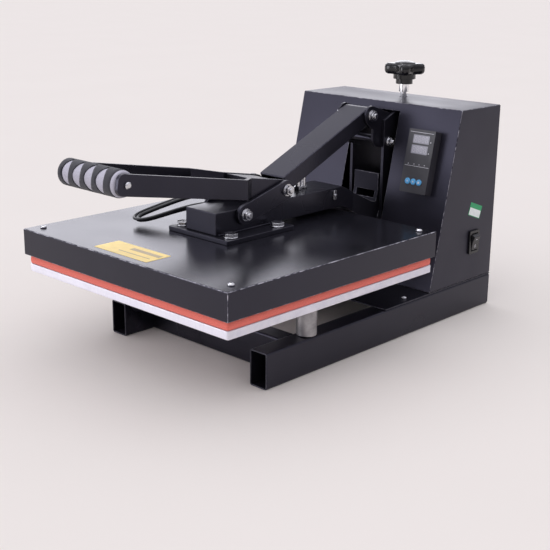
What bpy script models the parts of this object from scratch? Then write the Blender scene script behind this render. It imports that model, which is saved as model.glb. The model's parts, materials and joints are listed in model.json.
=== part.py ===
"""Flat clamshell heat press with a toggle handle, modelled as separate pieces.

Run with: blender --background --python part.py
Model space is metres with +Z up, and the operator stands at -Y.  Outlines are laid out in
machine coordinates, where Y = 0 is the middle of the lower platen, and the root empty then
moves the whole press so that Y = 0 is the middle of its footprint.
"""
import math

import bmesh
import bpy
from mathutils import Matrix, Vector

MM = 0.001
GAP = 0.3 * MM
ROUND_STEPS = 24
BOLT_STEPS = 18

# Base: two lengths of 50 x 30 tube tied by a cross member and a floor sheet
BASE_HALF_WIDTH = 158 * MM
TUBE_WIDTH = 30 * MM
TUBE_HEIGHT = 50 * MM
TUBE_WALL = 2 * MM
BASE_FRONT = -92 * MM
REAR = 424 * MM
CROSS_FRONT = -39 * MM
CROSS_DEPTH = 30 * MM
FLOOR_SHEET_FRONT = 153 * MM
SHEET = 2 * MM
POST_RADIUS = 14.2 * MM

# Lower platen, pad and heated upper platen
PLATEN_SIZE = 400 * MM
PLATEN_BOTTOM = 107.6 * MM
PLATEN_THICKNESS = 11 * MM
PAD_TOP = 129.4 * MM
HEATER_THICKNESS = 18 * MM
COVER_WIDTH = 410 * MM
COVER_FRONT = -205 * MM
COVER_REAR = 202 * MM
COVER_BOTTOM = 131.1 * MM
COVER_TOP = 168.5 * MM
COVER_WALL = 1.5 * MM

# Mounting plate and lift beam on the upper platen
MOUNT_HALF_WIDTH = 60 * MM
MOUNT_FRONT = -66 * MM
MOUNT_REAR = 64 * MM
MOUNT_THICKNESS = 6 * MM
MOUNT_BOLT_X = 47 * MM
MOUNT_BOLTS_Y = (-48 * MM, 42 * MM)
MOUNT_HOLE_RADIUS = 5.8 * MM
LEAD_EXIT = (-78 * MM, 30 * MM)
STOP_BOLTS = (("front", 134 * MM, 4 * MM, 16 * MM), ("rear", 147 * MM, 3 * MM, 20 * MM))
BEAM_HALF_WIDTH = 30 * MM
BEAM_WALL = 3 * MM
BEAM_FRONT = -59.4 * MM
BEAM_TOP = 206 * MM
BEAM_END = 228 * MM
ARM_HALF_WIDTH = 24 * MM
ARM_START = 150 * MM
ARM_SLOPE = 0.455
ARM_DEPTH = 30.6 * MM
ARM_LINE_Y = 234 * MM
ARM_LINE_Z = 190.8 * MM

# Pivots of the toggle linkage, as (Y, Z) in machine coordinates
PLATEN_PIVOT = (310 * MM, 141 * MM)
LINK_PIVOT = (-9 * MM, 197.5 * MM)
TOGGLE_PIVOT = (73 * MM, 220 * MM)
HANDLE_PIVOT = (268 * MM, 305.5 * MM)
YOKE_PIVOT = (308 * MM, 262 * MM)
ROD_Y = 384 * MM

# Heater lead past its gland: a loop left of the mounting plate, then back beside the beam, in mm
LEAD_RADIUS = 3 * MM
LEAD_ROUTE = ((-84, 18, 190), (-98, -6, 192), (-118, -36, 186), (-126, -54, 180), (-118, -66, 176.5),
              (-103, -58, 178), (-86, -30, 187), (-66, 6, 193), (-54, 40, 190), (-48, 90, 181),
              (-44, 140, 178), (-42, 190, 176), (-40, 225, 170), (-39, 262, 162), (-39, 284, 157))

# Links and handle
LINK_INNER = 30.5 * MM
LINK_OUTER = 36 * MM
LINK_RADIUS = 14 * MM
PIN_RADIUS = 4 * MM
AXLE_RADIUS = 8 * MM
BAR_HEIGHT = 27 * MM
BAR_THICKNESS = 5.6 * MM
BAR_SLOPE = -0.178
BAR_TOP_AT_ZERO = 246.4 * MM
BAR_FRONT = -242 * MM
BAR_WIDE = 58 * MM
BAR_NARROW = 30 * MM
BEND_START = -27 * MM
BEND_END = 8 * MM
GRIP_Y = -228 * MM
GRIP_RADIUS = 17.5 * MM
GRIP_CORE_RADIUS = 10 * MM
GRIP_LEFT_END = -61.5 * MM
TOGGLE_TUBE_HEIGHT = 25 * MM
TOGGLE_TUBE_WALL = 3 * MM

# Pressure yoke, frame plates and hand knob
YOKE_INNER = 24.4 * MM
YOKE_OUTER = 28.2 * MM
YOKE_SLACK = 1.9 * MM
FRAME_PLATE_INNER = 28.5 * MM
FRAME_PLATE_OUTER = 33.5 * MM
FRAME_PLATE_FRONT = 294 * MM
KNOB_LOBE_REACH = 32.4 * MM
KNOB_LOBE_RADIUS = 9.5 * MM
KNOB_HOLLOW = 19.5 * MM
KNOB_EDGE = 4.5 * MM
KNOB_TURN = math.radians(37)

# Control housing with its leaning front
HOUSING_BOTTOM = 52.6 * MM
HOUSING_TOP = 322.4 * MM
HOUSING_FRONT_LOW = 259.3 * MM
HOUSING_FRONT_HIGH = 319.5 * MM
SLOT_HALF_WIDTH = 45 * MM
SLOT_BOTTOM = 115 * MM
SLOT_TOP = 310 * MM

# Temperature controller on the leaning front, and power switch on the right side
PANEL_WIDTH = 48 * MM
PANEL_HEIGHT = 96 * MM
PANEL_X = 105 * MM
PANEL_Z = 239.9 * MM
BEZEL_DEPTH = 16 * MM
BUTTON_RADIUS = 4.8 * MM
BUTTON_ROW = -31.1 * MM
BUTTON_PLACES = {"left": -11.6 * MM, "middle": -1.1 * MM, "right": 9.4 * MM}
SWITCH_Y = 369 * MM
SWITCH_Z = 113.5 * MM
SWITCH_PIVOT_X = 157 * MM

FRONT_MOST = GRIP_Y - GRIP_RADIUS
FOOTPRINT_MIDDLE = (FRONT_MOST + REAR) / 2

COLOURS = {
    "black_paint": ((0.018, 0.018, 0.022), 0.32, 0.0),
    "housing_paint": ((0.022, 0.022, 0.026), 0.38, 0.0),
    "machined_aluminium": ((0.72, 0.73, 0.76), 0.35, 1.0),
    "zinc_steel": ((0.62, 0.63, 0.66), 0.3, 1.0),
    "chrome": ((0.8, 0.8, 0.82), 0.12, 1.0),
    "silicone": ((0.83, 0.2, 0.16), 0.6, 0.0),
    "fibre": ((0.82, 0.8, 0.72), 0.95, 0.0),
    "grip_foam": ((0.07, 0.07, 0.085), 0.85, 0.0),
    "black_plastic": ((0.015, 0.015, 0.017), 0.25, 0.0),
    "panel_plastic": ((0.05, 0.05, 0.06), 0.4, 0.0),
    "button_blue": ((0.35, 0.65, 0.9), 0.4, 0.0),
    "lead_jacket": ((0.02, 0.02, 0.022), 0.5, 0.0),
}


# ---------------------------------------------------------------- scene and materials

def clear_scene():
    for obj in list(bpy.data.objects):
        bpy.data.objects.remove(obj, do_unlink=True)


def make_materials():
    made = {}
    for name, (colour, roughness, metallic) in COLOURS.items():
        material = bpy.data.materials.new(name)
        material.use_nodes = True
        shader = material.node_tree.nodes["Principled BSDF"]
        shader.inputs["Base Color"].default_value = (*colour, 1.0)
        shader.inputs["Roughness"].default_value = roughness
        shader.inputs["Metallic"].default_value = metallic
        made[name] = material
    return made


def add_pivot(name, location, parent=None, rotation=None):
    """An empty on a joint's axis; location and rotation are in machine coordinates."""
    empty = bpy.data.objects.new(name, None)
    bpy.context.scene.collection.objects.link(empty)
    place = Matrix.Translation(Vector(location))
    if rotation is not None:
        place = place @ rotation
    empty["machine"] = [value for row in place for value in row]
    if parent is None:
        empty.matrix_local = place
    else:
        empty.parent = parent
        empty.matrix_local = machine_matrix(parent).inverted() @ place
    return empty


def machine_matrix(pivot):
    values = list(pivot["machine"])
    return Matrix([values[0:4], values[4:8], values[8:12], values[12:16]])


def make_pivots():
    root = bpy.data.objects.new("press_root", None)
    bpy.context.scene.collection.objects.link(root)
    root["machine"] = [value for row in Matrix.Identity(4) for value in row]
    root.location = (0, -FOOTPRINT_MIDDLE, 0)
    pivots = {"frame": root}
    pivots["platen"] = add_pivot("platen_hinge_axis", (0, *PLATEN_PIVOT), root)
    pivots["link"] = add_pivot("link_pivot_axis", (0, *LINK_PIVOT), pivots["platen"])
    pivots["yoke"] = add_pivot("yoke_axis", (0, *YOKE_PIVOT), root)
    pivots["handle"] = add_pivot("handle_hinge_axis", (0, *HANDLE_PIVOT), root)
    pivots["knob"] = add_pivot("knob_axis", (0, ROD_Y, HOUSING_TOP), root)
    pivots["nut"] = add_pivot("pressure_nut_axis", (0, ROD_Y, 0.28), root)
    pivots["rocker"] = add_pivot("rocker_axis", (SWITCH_PIVOT_X, SWITCH_Y, SWITCH_Z), root)
    pivots["panel"] = add_pivot("panel_face", panel_origin(), root, Matrix.Rotation(panel_tilt(), 4, "X"))
    return pivots


# ---------------------------------------------------------------- outlines

def arc(centre, radius, start, end, steps):
    """Points on an arc, angles in degrees, both ends included."""
    points = []
    for step in range(steps + 1):
        angle = math.radians(start + (end - start) * step / steps)
        points.append((centre[0] + radius * math.cos(angle), centre[1] + radius * math.sin(angle)))
    return points


def circle(centre, radius, steps=ROUND_STEPS):
    return arc(centre, radius, 0, 360, steps)[:-1]


def rectangle(low, high, corner=0.0, steps=3):
    """An upright rectangle, with rounded corners where corner is above 0."""
    (x0, y0), (x1, y1) = low, high
    if not corner:
        return [(x0, y0), (x1, y0), (x1, y1), (x0, y1)]
    places = [(x1 - corner, y0 + corner, -90), (x1 - corner, y1 - corner, 0),
              (x0 + corner, y1 - corner, 90), (x0 + corner, y0 + corner, 180)]
    return [point for x, y, start in places for point in arc((x, y), corner, start, start + 90, steps)]


def dogbone(first, second, radius, steps=10):
    """A plate outline with a round end about each of two centres."""
    heading = math.degrees(math.atan2(second[1] - first[1], second[0] - first[0]))
    return (arc(first, radius, heading + 90, heading + 270, steps)
            + arc(second, radius, heading - 90, heading + 90, steps))


def offset_strip(path, thickness):
    """A strip of even thickness whose outer side is the path, as one closed outline."""
    inner = []
    for index, point in enumerate(path):
        here = Vector(point)
        before = (here - Vector(path[index - 1])).normalized() if index else None
        after = (Vector(path[index + 1]) - here).normalized() if index + 1 < len(path) else None
        along = ((before or after) + (after or before)).normalized()
        side = Vector((-along.y, along.x))
        stretch = 1 / max(side.dot(Vector((-(after or before).y, (after or before).x))), 0.2)
        inner.append(tuple(here + side * thickness * stretch))
    return list(path) + inner[::-1]


def arm_line(y):
    """Height of the sloping arm's upper edge."""
    return ARM_LINE_Z - ARM_SLOPE * (y - ARM_LINE_Y)


def arm_line_at(z):
    return ARM_LINE_Y - (z - ARM_LINE_Z) / ARM_SLOPE


def bar_top(y):
    return BAR_TOP_AT_ZERO + BAR_SLOPE * y


def bar_middle(y):
    return bar_top(y) - BAR_HEIGHT / 2 * math.hypot(1, BAR_SLOPE)


def front_line(z):
    """Y of the housing's leaning front at a height."""
    share = (z - HOUSING_BOTTOM) / (HOUSING_TOP - HOUSING_BOTTOM)
    return HOUSING_FRONT_LOW + share * (HOUSING_FRONT_HIGH - HOUSING_FRONT_LOW)


def panel_tilt():
    """Turn that takes local +Z to the outward normal of the leaning front, +Y up the slope."""
    lean = math.atan2(HOUSING_FRONT_HIGH - HOUSING_FRONT_LOW, HOUSING_TOP - HOUSING_BOTTOM)
    return math.pi / 2 - lean


def panel_origin():
    return (PANEL_X, front_line(PANEL_Z), PANEL_Z)


# ---------------------------------------------------------------- solids

def lift(point, axis, level):
    if axis == "X":
        return (level, point[0], point[1])
    if axis == "Y":
        return (point[0], level, point[1])
    return (point[0], point[1], level)


def prism(outline, axis, low, high, holes=()):
    """A plate or bar: a flat outline with holes, drawn out along an axis."""
    bm = bmesh.new()
    edges = []
    for loop in (outline, *holes):
        verts = [bm.verts.new(lift(point, axis, low)) for point in loop]
        edges += [bm.edges.new((vert, verts[(index + 1) % len(verts)])) for index, vert in enumerate(verts)]
    if holes:
        bmesh.ops.triangle_fill(bm, edges=edges, use_beauty=True)
    else:
        bm.faces.new(verts)
    drawn = bmesh.ops.extrude_face_region(bm, geom=bm.faces[:])
    moved = [item for item in drawn["geom"] if isinstance(item, bmesh.types.BMVert)]
    bmesh.ops.translate(bm, verts=moved, vec=Vector(lift((0, 0), axis, high - low)))
    return to_mesh(bm)


def box(low, high):
    return prism(rectangle(low[:2], high[:2]), "Z", low[2], high[2])


def turned(profile, axis, centre, steps=ROUND_STEPS):
    """A turned piece along an axis: (level, radius) rings, with hex rings marked by a third item."""
    bm = bmesh.new()
    rings = []
    for level, radius, *flats in profile:
        ring = []
        for step in range(steps):
            angle = 2 * math.pi * step / steps
            reach = radius
            if flats:
                reach = radius / math.cos((angle + math.pi / 6) % (math.pi / 3) - math.pi / 6)
            point = (centre[0] + reach * math.cos(angle), centre[1] + reach * math.sin(angle))
            ring.append(bm.verts.new(lift(point, axis, level)))
        rings.append(ring)
    for lower, upper in zip(rings, rings[1:]):
        for step in range(steps):
            after = (step + 1) % steps
            bm.faces.new((lower[step], lower[after], upper[after], upper[step]))
    bm.faces.new(rings[0])
    bm.faces.new(rings[-1])
    return to_mesh(bm)


def loft(rings):
    """A solid through level outlines with the same number of points: (level, outline) from the bottom up."""
    bm = bmesh.new()
    loops = [[bm.verts.new((x, y, level)) for x, y in outline] for level, outline in rings]
    for lower, upper in zip(loops, loops[1:]):
        for index in range(len(lower)):
            after = (index + 1) % len(lower)
            bm.faces.new((lower[index], lower[after], upper[after], upper[index]))
    bm.faces.new(loops[0])
    bm.faces.new(loops[-1])
    return to_mesh(bm)


def to_mesh(bm):
    bmesh.ops.recalc_face_normals(bm, faces=bm.faces[:])
    mesh = bpy.data.meshes.new("shape")
    bm.to_mesh(mesh)
    bm.free()
    return mesh


class Press:
    """Holds the pivots and materials, and adds named pieces to them."""

    def __init__(self):
        self.materials = make_materials()
        self.pivots = make_pivots()

    def add(self, name, mesh, material, pivot="frame", smooth=False):
        """A piece whose mesh is in machine coordinates, hung on its joint's empty."""
        owner = self.pivots[pivot]
        if pivot != "panel":
            mesh.transform(machine_matrix(owner).inverted())
        mesh.name = name
        obj = bpy.data.objects.new(name, mesh)
        bpy.context.scene.collection.objects.link(obj)
        obj.parent = owner
        if material:
            mesh.materials.append(self.materials[material])
        if smooth:
            mesh.shade_smooth()
            mesh.set_sharp_from_angle(angle=math.radians(35))
        return obj

    def boolean(self, obj, mesh, pivot, operation="DIFFERENCE"):
        """Cuts a shape from a piece, or joins or intersects it."""
        count = len(obj.modifiers)
        cutter = self.add(f"cutter_{obj.name}_{count}", mesh, None, pivot)
        cutter.hide_render = True
        cutter.display_type = "WIRE"
        modifier = obj.modifiers.new(operation.lower(), "BOOLEAN")
        modifier.operation = operation
        modifier.solver = "EXACT"
        modifier.object = cutter

    def drill(self, obj, axis, centre, radius, low, high, pivot, steps=16):
        self.boolean(obj, turned([(low, radius), (high, radius)], axis, centre, steps), pivot)


def soften(obj, width, segments=1):
    """A small chamfer or round on the sharp edges."""
    modifier = obj.modifiers.new("edge_round", "BEVEL")
    modifier.width = width
    modifier.segments = segments
    modifier.limit_method = "ANGLE"
    modifier.angle_limit = math.radians(50)


# ---------------------------------------------------------------- base and lower platen

def add_base(press):
    for side, name in ((1, "right"), (-1, "left")):
        inner, outer = sorted((side * (BASE_HALF_WIDTH - TUBE_WIDTH), side * BASE_HALF_WIDTH))
        rim = rectangle((inner, 0), (outer, TUBE_HEIGHT), 3 * MM)
        bore_low = (inner + TUBE_WALL, TUBE_WALL)
        bore_high = (outer - TUBE_WALL, TUBE_HEIGHT - TUBE_WALL)
        bore = rectangle(bore_low, bore_high, 1.2 * MM)
        press.add(f"base_tube_{name}", prism(rim, "Y", BASE_FRONT, REAR, [bore]), "black_paint")
        centre = (side * (BASE_HALF_WIDTH - TUBE_WIDTH / 2), 0)
        low, high = TUBE_HEIGHT + GAP, PLATEN_BOTTOM - GAP
        chamfer = 1 * MM
        profile = [(low, POST_RADIUS - chamfer), (low + chamfer, POST_RADIUS),
                   (high - chamfer, POST_RADIUS), (high, POST_RADIUS - chamfer)]
        press.add(f"platen_post_{name}", turned(profile, "Z", centre), "machined_aluminium", smooth=True)
    reach = BASE_HALF_WIDTH - TUBE_WIDTH - GAP
    rim = rectangle((CROSS_FRONT, 0), (CROSS_FRONT + CROSS_DEPTH, TUBE_HEIGHT), 3 * MM)
    bore = rectangle((CROSS_FRONT + TUBE_WALL, TUBE_WALL),
                     (CROSS_FRONT + CROSS_DEPTH - TUBE_WALL, TUBE_HEIGHT - TUBE_WALL), 1.2 * MM)
    press.add("front_cross_member", prism(rim, "X", -reach, reach, [bore]), "black_paint")
    sheet = rectangle((-BASE_HALF_WIDTH, FLOOR_SHEET_FRONT), (BASE_HALF_WIDTH, REAR))
    floor = TUBE_HEIGHT + GAP
    press.add("floor_sheet", prism(sheet, "Z", floor, floor + SHEET), "black_paint")
    add_rear_support(press, floor + SHEET + GAP)


def add_rear_support(press, floor):
    """A folded bridge on the floor sheet that carries the rear of the lower platen."""
    top = PLATEN_BOTTOM - GAP
    reach, foot, fold = 60 * MM, 80 * MM, 4 * MM
    outline = [(-foot, floor), (-reach, floor), (-reach, top - fold), (reach, top - fold), (reach, floor),
               (foot, floor), (foot, floor + fold), (reach + fold, floor + fold), (reach + fold, top),
               (-reach - fold, top), (-reach - fold, floor + fold), (-foot, floor + fold)]
    press.add("rear_platen_bridge", prism(outline, "Y", 160 * MM, 190 * MM), "black_paint")


def add_lower_platen(press):
    half = PLATEN_SIZE / 2
    top = PLATEN_BOTTOM + PLATEN_THICKNESS
    plate = rectangle((-half, -half), (half, half), 3 * MM)
    body = press.add("lower_platen", prism(plate, "Z", PLATEN_BOTTOM, top), "machined_aluminium")
    soften(body, 0.6 * MM)
    pad_half = half - 0.4 * MM
    sheet = rectangle((-pad_half, -pad_half), (pad_half, pad_half), 3 * MM)
    press.add("silicone_pad", prism(sheet, "Z", top + GAP, PAD_TOP), "silicone")


# ---------------------------------------------------------------- upper platen

def bolt_places():
    return [(side * MOUNT_BOLT_X, y) for side in (-1, 1) for y in MOUNT_BOLTS_Y]


def add_upper_platen(press):
    half = PLATEN_SIZE / 2
    middle = (COVER_FRONT + COVER_REAR) / 2 + 1 * MM
    heater_low = PAD_TOP + GAP
    heater_high = heater_low + HEATER_THICKNESS
    plate = rectangle((-half, middle - half), (half, middle + half), 3 * MM)
    heater = press.add("heating_plate", prism(plate, "Z", heater_low, heater_high),
                       "machined_aluminium", "platen")
    for place in bolt_places():
        low, high = heater_high - 10 * MM, heater_high + 5 * MM
        press.drill(heater, "Z", place, MOUNT_HOLE_RADIUS, low, high, "platen", 12)
    blanket_half = half - 2 * MM
    blanket = rectangle((-blanket_half, middle - blanket_half), (blanket_half, middle + blanket_half))
    holes = [circle(place, MOUNT_HOLE_RADIUS, 12) for place in (*bolt_places(), LEAD_EXIT)]
    press.add("insulation_blanket",
              prism(blanket, "Z", heater_high + GAP, COVER_TOP - COVER_WALL - GAP, holes), "fibre", "platen")
    add_cover(press)
    add_mounting_plate(press)
    add_beam(press)
    add_arm(press)
    add_lead_gland(press)


def add_cover(press):
    half = COVER_WIDTH / 2
    cover = press.add("platen_cover", box((-half, COVER_FRONT, COVER_BOTTOM), (half, COVER_REAR, COVER_TOP)),
                      "black_paint", "platen")
    soften(cover, 1.5 * MM, 2)
    inner = box((-half + COVER_WALL, COVER_FRONT + COVER_WALL, COVER_BOTTOM - 5 * MM),
                (half - COVER_WALL, COVER_REAR - COVER_WALL, COVER_TOP - COVER_WALL))
    press.boolean(cover, inner, "platen")
    for place in bolt_places():
        low, high = COVER_TOP - 5 * MM, COVER_TOP + 5 * MM
        press.drill(cover, "Z", place, MOUNT_HOLE_RADIUS, low, high, "platen", 12)
    press.drill(cover, "Z", LEAD_EXIT, 5.2 * MM, COVER_TOP - 5 * MM, COVER_TOP + 5 * MM, "platen", 12)


def add_mounting_plate(press):
    low = COVER_TOP + GAP
    high = low + MOUNT_THICKNESS
    outline = rectangle((-MOUNT_HALF_WIDTH, MOUNT_FRONT), (MOUNT_HALF_WIDTH, MOUNT_REAR), 3 * MM)
    holes = [circle(place, MOUNT_HOLE_RADIUS, 12) for place in bolt_places()]
    press.add("mounting_plate", prism(outline, "Z", low, high, holes), "black_paint", "platen")
    washer, head, shank_end = 1.2 * MM, 4.6 * MM, 139.4 * MM
    for (x, y), name in zip(bolt_places(), ("left_front", "left_rear", "right_front", "right_rear")):
        seat = high + GAP
        profile = [(shank_end, 5 * MM), (seat, 5 * MM), (seat, 10.4 * MM), (seat + washer, 10.4 * MM),
                   (seat + washer, 8.5 * MM, "hex"), (seat + washer + head, 8.5 * MM, "hex")]
        press.add(f"mounting_bolt_{name}", turned(profile, "Z", (x, y), 12), "zinc_steel", "platen")


def beam_outline(inset=0.0):
    """Side view of the lift beam: level over the platen, then bent down along the arm."""
    low = COVER_TOP + GAP + MOUNT_THICKNESS + GAP + inset
    high = BEAM_TOP - inset
    slant = inset * math.hypot(1, ARM_SLOPE)
    end = BEAM_END + (10 * MM if inset else 0)
    return [(BEAM_FRONT + inset, low), (arm_line_at(low + ARM_DEPTH - slant), low),
            (end, arm_line(end) - ARM_DEPTH + slant), (end, arm_line(end) - slant),
            (arm_line_at(high + slant), high), (BEAM_FRONT + inset, high)]


def add_beam(press):
    beam = press.add("lift_beam", prism(beam_outline(), "X", -BEAM_HALF_WIDTH, BEAM_HALF_WIDTH),
                     "black_paint", "platen")
    soften(beam, 1.2 * MM, 2)
    reach = BEAM_HALF_WIDTH - BEAM_WALL
    press.boolean(beam, prism(beam_outline(BEAM_WALL), "X", -reach, reach), "platen")
    press.drill(beam, "X", LINK_PIVOT, PIN_RADIUS + GAP, -0.04, 0.04, "platen")
    for name, y, radius, reach in STOP_BOLTS:
        place = (0, y)
        press.drill(beam, "Z", place, radius + GAP, BEAM_TOP - 6 * MM, BEAM_TOP + 5 * MM, "platen", 12)
        seat = BEAM_TOP + GAP
        nut = 1.6 * radius
        profile = [(BEAM_TOP - 8 * MM, radius), (seat, radius), (seat, nut, "hex"),
                   (seat + 1.3 * radius, nut, "hex"), (seat + 1.3 * radius, radius), (seat + reach, radius)]
        press.add(f"stop_bolt_{name}", turned(profile, "Z", place, 12), "zinc_steel", "platen")


def add_arm(press):
    """Arm from inside the beam to the platen hinge, with an upright tail behind the hinge."""
    inset = BEAM_WALL + GAP
    slant = inset * math.hypot(1, ARM_SLOPE)
    low = COVER_TOP + GAP + MOUNT_THICKNESS + GAP + inset
    high = BEAM_TOP - inset
    step = BEAM_END + GAP
    pivot_y, pivot_z = PLATEN_PIVOT
    radius = 15.5 * MM
    slope = math.degrees(math.atan(ARM_SLOPE))
    tail_front, tail_rear, tail_top = 295 * MM, 301 * MM, 211.5 * MM
    outline = [(ARM_START, low), (arm_line_at(low + ARM_DEPTH - slant), low),
               (step, arm_line(step) - ARM_DEPTH + slant), (step, arm_line(step) - ARM_DEPTH)]
    outline += arc(PLATEN_PIVOT, radius, -90 - slope, 20, 8)
    outline += [(tail_rear + 8 * MM, pivot_z + 30 * MM), (tail_rear, tail_top), (tail_front, tail_top),
                (tail_front, 184 * MM), (tail_front - 4 * MM, arm_line(tail_front - 4 * MM) + 3 * MM),
                (tail_front - 12 * MM, arm_line(tail_front - 12 * MM)),
                (step, arm_line(step)), (step, arm_line(step) - slant),
                (arm_line_at(high + slant), high), (ARM_START, high)]
    solid = prism(outline, "X", -ARM_HALF_WIDTH, ARM_HALF_WIDTH)
    arm = press.add("hinge_arm", solid, "black_paint", "platen")
    boss = YOKE_OUTER
    press.boolean(arm, turned([(-boss, 14 * MM), (boss, 14 * MM)], "X", PLATEN_PIVOT), "platen", "UNION")
    press.drill(arm, "X", PLATEN_PIVOT, AXLE_RADIUS + GAP, -0.05, 0.05, "platen", 20)
    window = [(tail_front - 20 * MM, 178 * MM), (tail_rear + 30 * MM, 160 * MM),
              (tail_rear + 30 * MM, 183.5 * MM), (tail_front - 20 * MM, 183.5 * MM)]
    press.boolean(arm, prism(window, "X", -18 * MM, 18 * MM), "platen")


def add_lead_gland(press):
    """Gland in the platen cover where the heater lead leaves it."""
    seat = COVER_TOP + GAP
    profile = [(COVER_TOP - 5 * MM, 4.6 * MM), (seat, 4.6 * MM), (seat, 8 * MM), (seat + 4 * MM, 8 * MM),
               (seat + 4 * MM, 6 * MM), (seat + 9 * MM, 5 * MM)]
    press.add("lead_gland", turned(profile, "Z", LEAD_EXIT, 16), "black_plastic", "platen")


# ---------------------------------------------------------------- toggle links and handle

def add_links(press):
    outline = dogbone(LINK_PIVOT, TOGGLE_PIVOT, LINK_RADIUS)
    bores = [circle(LINK_PIVOT, PIN_RADIUS + GAP, 16), circle(TOGGLE_PIVOT, PIN_RADIUS + GAP, 16)]
    press.add("link_plate_right", prism(outline, "X", LINK_INNER, LINK_OUTER, bores), "black_paint", "link")
    press.add("link_plate_left", prism(outline, "X", -LINK_OUTER, -LINK_INNER, bores), "black_paint", "link")
    seat = LINK_OUTER + GAP
    pivot_bolt = turned(through_bolt(seat), "X", LINK_PIVOT, BOLT_STEPS)
    press.add("link_pivot_bolt", pivot_bolt, "zinc_steel", "link")
    shank = [(LINK_INNER + GAP, PIN_RADIUS), (seat, PIN_RADIUS)]
    right = turned([*shank, *nut_and_stud(seat)], "X", TOGGLE_PIVOT, BOLT_STEPS)
    left = turned(flipped([*shank, *bolt_head(seat)]), "X", TOGGLE_PIVOT, BOLT_STEPS)
    press.add("toggle_bolt_right", right, "zinc_steel", "link")
    press.add("toggle_bolt_left", left, "zinc_steel", "link")


def bolt_head(seat):
    """Washer and hex head on a seat."""
    washer, head = seat + 1.4 * MM, seat + 6.9 * MM
    return [(seat, 8.8 * MM), (washer, 8.8 * MM), (washer, 6.6 * MM, "hex"), (head, 6.6 * MM, "hex")]


def nut_and_stud(seat):
    """Washer and nut on a seat, with the bolt's end standing out of the nut."""
    end = seat + 9.4 * MM
    return [*bolt_head(seat), (seat + 6.9 * MM, PIN_RADIUS), (end - 0.6 * MM, PIN_RADIUS), (end, 3.2 * MM)]


def flipped(profile):
    return [(-level, *rest) for level, *rest in profile[::-1]]


def through_bolt(seat):
    """A bolt across the machine, with its head on the left and its nut on the right."""
    return [*flipped(bolt_head(seat)), (-seat, PIN_RADIUS), (seat, PIN_RADIUS), *nut_and_stud(seat)]


def bar_side_view(grow=0.0):
    """Side view of a handle bar, from its rounded front corners to its round rear end."""
    slope = math.degrees(math.atan(BAR_SLOPE))
    half = BAR_HEIGHT / 2 + grow
    corner = 8 * MM + grow
    along = Vector((1, BAR_SLOPE)).normalized()
    up = Vector((-along.y, along.x))
    front = Vector((BAR_FRONT, bar_middle(BAR_FRONT))) - along * grow
    low_corner = front + along * corner - up * (half - corner)
    high_corner = front + along * corner + up * (half - corner)
    return (arc(high_corner, corner, slope + 90, slope + 180, 4)
            + arc(low_corner, corner, slope + 180, slope + 270, 4)
            + arc(TOGGLE_PIVOT, half, slope - 90, slope + 90, 10))


def add_handle(press):
    path = [(BAR_NARROW, 100 * MM), (BAR_NARROW, BEND_END), (BAR_WIDE, BEND_START), (BAR_WIDE, -260 * MM)]
    plan = offset_strip(path, -BAR_THICKNESS)
    grip_centre = (GRIP_Y, bar_middle(GRIP_Y))
    for side, name in ((1, "right"), (-1, "left")):
        low, high = sorted((side * 20 * MM, side * 62 * MM))
        bar = press.add(f"handle_bar_{name}", prism(bar_side_view(), "X", low, high), "black_paint", "handle")
        ground_plan = [(side * x, y) for x, y in plan]
        press.boolean(bar, prism(ground_plan, "Z", 190 * MM, 320 * MM), "handle", "INTERSECT")
        press.drill(bar, "X", grip_centre, 3.4 * MM, low, high, "handle", 12)
        press.drill(bar, "X", TOGGLE_PIVOT, AXLE_RADIUS + GAP, low, high, "handle", 20)
    add_tie_plate(press)
    axle = turned([(-BAR_NARROW, AXLE_RADIUS), (BAR_NARROW, AXLE_RADIUS)], "X", TOGGLE_PIVOT)
    press.add("toggle_axle", axle, "zinc_steel", "handle", True)
    add_toggle_tube(press)
    add_grip(press, grip_centre)


def add_tie_plate(press):
    """Plate between the handle bars, just under their upper edges."""
    front, rear, inset, thickness = 12 * MM, 62 * MM, 1 * MM, 5 * MM
    outline = [(y, bar_top(y) - inset - drop) for y, drop in
               ((front, thickness), (rear, thickness), (rear, 0), (front, 0))]
    reach = BAR_NARROW - BAR_THICKNESS - GAP
    press.add("handle_tie_plate", prism(outline, "X", -reach, reach), "black_paint", "handle")


def add_toggle_tube(press):
    """Rectangular tube from the toggle axle up to the handle hinge."""
    start, end = Vector(TOGGLE_PIVOT), Vector(HANDLE_PIVOT)
    along = (end - start).normalized()
    up = Vector((-along.y, along.x))
    heading = math.degrees(math.atan2(along.y, along.x))
    half = TOGGLE_TUBE_HEIGHT / 2
    nose = start + along * 10.7 * MM
    outline = [tuple(nose + up * half), tuple(nose - up * half)]
    outline += arc(HANDLE_PIVOT, half, heading - 90, heading + 90, 10)
    solid = prism(outline, "X", -ARM_HALF_WIDTH, ARM_HALF_WIDTH)
    tube = press.add("toggle_tube", solid, "black_paint", "handle")
    soften(tube, 1.5 * MM, 2)
    wall = TOGGLE_TUBE_WALL
    hollow_end = end - along * 16 * MM
    hollow = [tuple(nose - along * wall + up * (half - wall)), tuple(nose - along * wall - up * (half - wall)),
              tuple(hollow_end - up * (half - wall)), tuple(hollow_end + up * (half - wall))]
    press.boolean(tube, prism(hollow, "X", -ARM_HALF_WIDTH + wall, ARM_HALF_WIDTH - wall), "handle")
    press.drill(tube, "X", HANDLE_PIVOT, PIN_RADIUS + GAP, -0.04, 0.04, "handle")


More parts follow.
